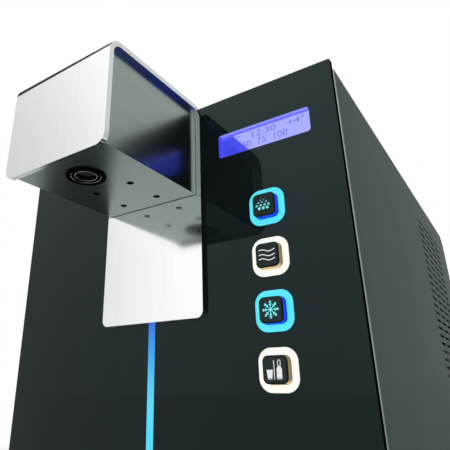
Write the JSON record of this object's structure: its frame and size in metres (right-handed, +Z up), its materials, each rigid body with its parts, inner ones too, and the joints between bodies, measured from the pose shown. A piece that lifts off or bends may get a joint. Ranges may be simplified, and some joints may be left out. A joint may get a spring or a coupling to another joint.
{
  "type": "countertop drinks dispenser",
  "caption": "Countertop dispenser for chilled, ambient and sparkling water, with a stainless spout, lit buttons, a display, a pull-out drip tray and its cooling and carbonating parts inside.",
  "frame": {"origin": "on the counter, under the middle of the whole footprint", "axes": "+Z up, +Y from the spout to the rear panel, +X to the right of a user facing the spout"},
  "size_m": [0.33, 0.66, 0.47],
  "materials": {
    "galvanised_steel": "dull zinc",
    "rubber": "moulded matt",
    "fasteners": "bright zinc",
    "black_glass": "back-painted black, polished",
    "aluminium_edge": "satin anodised",
    "cabinet_paint": "satin dark grey-green",
    "brushed_band": "fine vertical brushing",
    "satin_housing": "satin",
    "sheet_steel": "satin",
    "black_gloss": "polished black",
    "black_satin": "satin black",
    "polished_steel": "polished",
    "clear_tube": "natural polyethylene",
    "light_strip": "frosted, lit from behind",
    "display_blue": "lit from behind",
    "circuit_board": "coated board",
    "ring_cyan": "frosted, lit from behind",
    "ring_white": "frosted, lit from behind",
    "cap_charcoal": "satin charcoal",
    "grille_steel": "brushed",
    "black_paint": "satin black",
    "fin_aluminium": "mill finish",
    "motor_steel": "satin grey",
    "insulated_tank": "moulded foam",
    "copper": "drawn copper",
    "stainless": "satin",
    "brass": "machined",
    "rocker_black": "polished black"
  },
  "bodies": {
    "cabinet": {"agitator_motor": "motor_steel", "base_pan": "galvanised_steel", "button_board": "circuit_board", "button_ring_1": "ring_cyan", "button_ring_2": "ring_white", "button_ring_3": "ring_cyan", "button_ring_4": "ring_white", "carbonator": "stainless", "cold_tank": "insulated_tank", "compressor": "black_paint", "compressor_grommets": "rubber", "condenser": "fin_aluminium", "control_board": "circuit_board", "evaporator_coil": "copper", "fan_motor": "motor_steel", "fan_shroud": "black_paint", "feet": "rubber", "filter_drier": "copper", "foot_screws": "fasteners", "front_carrier": "aluminium_edge", "front_glass": "black_glass", "gas_inlet": "polished_steel", "lcd_module": "circuit_board", "lcd_window": "display_blue", "led_board": "circuit_board", "led_light_guide": "light_strip", "nozzle_bezel": "black_gloss", "nozzle_body": "black_gloss", "nozzle_diffuser": "black_satin", "nozzle_sleeve": "polished_steel", "panel_screws": "fasteners", "power_inlet": "black_satin", "power_switch": "black_satin", "pump": "motor_steel", "rear_panel": "cabinet_paint", "refrigerant_tubes": "copper", "side_panel_left": "cabinet_paint", "side_panel_right": "cabinet_paint", "spout_band": "brushed_band", "spout_bottom_plate": "satin_housing", "spout_bracket": "sheet_steel", "spout_screws": "fasteners", "spout_side_left": "satin_housing", "spout_side_right": "satin_housing", "tank_lid": "insulated_tank", "top_cover": "cabinet_paint", "tray_shelf": "sheet_steel", "valve_block": "brass", "valve_coils": "black_satin", "water_inlet": "brass", "water_tubes": "clear_tube"},
    "button_1": {"button_cap_1": "cap_charcoal"},
    "button_2": {"button_cap_2": "cap_charcoal"},
    "button_3": {"button_cap_3": "cap_charcoal"},
    "button_4": {"button_cap_4": "cap_charcoal"},
    "tray": {"drip_tray": "black_satin"},
    "grille": {"drip_grille": "grille_steel"},
    "fan": {"fan_blades": "fin_aluminium"},
    "agitator": {"agitator_impeller": "stainless"},
    "rocker": {"power_rocker": "rocker_black"}
  },
  "joints": [
    {"name": "button_1_press", "type": "slide", "parent": "cabinet", "child": "button_1", "axis": [0, 1, 0], "range_m": [0, 0.0015], "stiffness_N_per_m": 400},
    {"name": "button_2_press", "type": "slide", "parent": "cabinet", "child": "button_2", "axis": [0, 1, 0], "range_m": [0, 0.0015], "stiffness_N_per_m": 400},
    {"name": "button_3_press", "type": "slide", "parent": "cabinet", "child": "button_3", "axis": [0, 1, 0], "range_m": [0, 0.0015], "stiffness_N_per_m": 400},
    {"name": "button_4_press", "type": "slide", "parent": "cabinet", "child": "button_4", "axis": [0, 1, 0], "range_m": [0, 0.0015], "stiffness_N_per_m": 400},
    {"name": "tray_slide", "type": "slide", "parent": "cabinet", "child": "tray", "axis": [0, -1, 0], "range_m": [0, 0.12]},
    {"name": "grille_lift", "type": "slide", "parent": "tray", "child": "grille", "axis": [0, 0, 1], "range_m": [0, 0.03]},
    {"name": "fan_spin", "type": "hinge", "parent": "cabinet", "child": "fan", "pos_m": [0.1118, 0.16, 0.15], "axis": [1, 0, 0], "continuous": true},
    {"name": "agitator_spin", "type": "hinge", "parent": "cabinet", "child": "agitator", "pos_m": [0.038, -0.06, 0.2], "axis": [0, 0, 1], "continuous": true},
    {"name": "rocker_tip", "type": "hinge", "parent": "cabinet", "child": "rocker", "pos_m": [0.128, 0.3105, 0.1], "axis": [1, 0, 0], "range_deg": [0, 8]}
  ]
}
